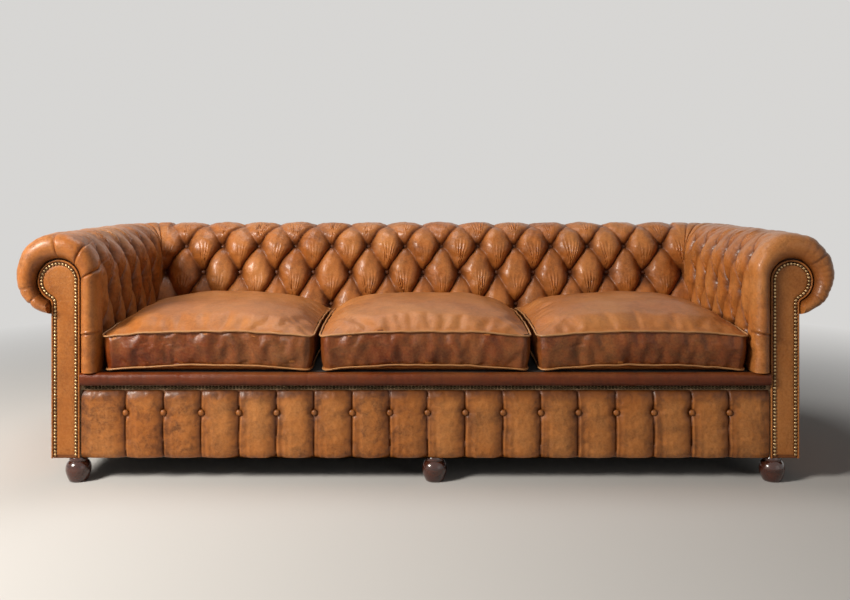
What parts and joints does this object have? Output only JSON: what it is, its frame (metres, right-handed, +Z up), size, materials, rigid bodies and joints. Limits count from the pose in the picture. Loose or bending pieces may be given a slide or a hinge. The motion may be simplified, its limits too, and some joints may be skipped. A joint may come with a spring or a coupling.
{
  "type": "chesterfield sofa",
  "caption": "Low rolled-arm sofa in aged tan leather with deep diamond tufting, loose piped seat cushions, nailed facings, a buttoned front border and turned bun feet.",
  "frame": {"origin": "on the floor under the middle of the sofa", "axes": "+X along the length to a sitter's left hand seen from the front, the front faces -Y, +Z up"},
  "size_m": [2.44, 0.94, 0.746],
  "materials": {
    "tufted_leather": "waxed, aged",
    "border_leather": "waxed, aged",
    "cushion_leather": "waxed, worn",
    "cushion_piping": "rubbed",
    "frame_wood": "sawn",
    "dark_wood": "polished",
    "spring_steel": "plain",
    "brass": "antique",
    "lining": "woven",
    "zip_tape": "woven",
    "stuffing": "soft"
  },
  "bodies": {
    "root": {"arm_buttons_left": "tufted_leather", "arm_buttons_right": "tufted_leather", "arm_front_post_left": "frame_wood", "arm_front_post_right": "frame_wood", "arm_rear_post_left": "frame_wood", "arm_rear_post_right": "frame_wood", "arm_stuffing_rail_left": "frame_wood", "arm_stuffing_rail_right": "frame_wood", "arm_top_rail_left": "frame_wood", "arm_top_rail_right": "frame_wood", "arm_webbing_left": "lining", "arm_webbing_right": "lining", "back_buttons": "tufted_leather", "back_stuffing_rail": "frame_wood", "back_top_rail": "frame_wood", "back_uprights": "frame_wood", "back_webbing": "lining", "border_buttons": "border_leather", "border_nails": "brass", "centre_stretchers": "frame_wood", "corner_blocks": "frame_wood", "dust_cover": "lining", "facing_left": "border_leather", "facing_nails_left": "brass", "facing_nails_right": "brass", "facing_piping_left": "border_leather", "facing_piping_right": "border_leather", "facing_right": "border_leather", "feet": "dark_wood", "foot_bolts": "spring_steel", "front_border": "border_leather", "front_lip": "border_leather", "front_rail": "frame_wood", "inside_arm_left": "tufted_leather", "inside_arm_right": "tufted_leather", "inside_back": "tufted_leather", "outside_arm_left": "tufted_leather", "outside_arm_right": "tufted_leather", "outside_back": "tufted_leather", "rear_rail": "frame_wood", "seat_deck": "lining", "seat_springs": "spring_steel", "side_rail_left": "frame_wood", "side_rail_right": "frame_wood", "spring_clips": "spring_steel"},
    "cushion_left": {"cushion_left_cover": "cushion_leather", "cushion_left_core": "stuffing", "cushion_left_piping": "cushion_piping", "cushion_left_zip": "zip_tape"},
    "cushion_left_slider": {"cushion_left_zip_slider": "brass"},
    "cushion_middle": {"cushion_middle_cover": "cushion_leather", "cushion_middle_core": "stuffing", "cushion_middle_piping": "cushion_piping", "cushion_middle_zip": "zip_tape"},
    "cushion_middle_slider": {"cushion_middle_zip_slider": "brass"},
    "cushion_right": {"cushion_right_cover": "cushion_leather", "cushion_right_core": "stuffing", "cushion_right_piping": "cushion_piping", "cushion_right_zip": "zip_tape"},
    "cushion_right_slider": {"cushion_right_zip_slider": "brass"}
  },
  "joints": [
    {"name": "cushion_left_lift", "type": "slide", "parent": "root", "child": "cushion_left", "axis": [0, 0, 1], "range_m": [0, 0.45]},
    {"name": "cushion_left_zip_travel", "type": "slide", "parent": "cushion_left", "child": "cushion_left_slider", "axis": [1, 0, 0], "range_m": [0, 0.49]},
    {"name": "cushion_middle_lift", "type": "slide", "parent": "root", "child": "cushion_middle", "axis": [0, 0, 1], "range_m": [0, 0.45]},
    {"name": "cushion_middle_zip_travel", "type": "slide", "parent": "cushion_middle", "child": "cushion_middle_slider", "axis": [1, 0, 0], "range_m": [0, 0.49]},
    {"name": "cushion_right_lift", "type": "slide", "parent": "root", "child": "cushion_right", "axis": [0, 0, 1], "range_m": [0, 0.45]},
    {"name": "cushion_right_zip_travel", "type": "slide", "parent": "cushion_right", "child": "cushion_right_slider", "axis": [1, 0, 0], "range_m": [0, 0.49]}
  ]
}
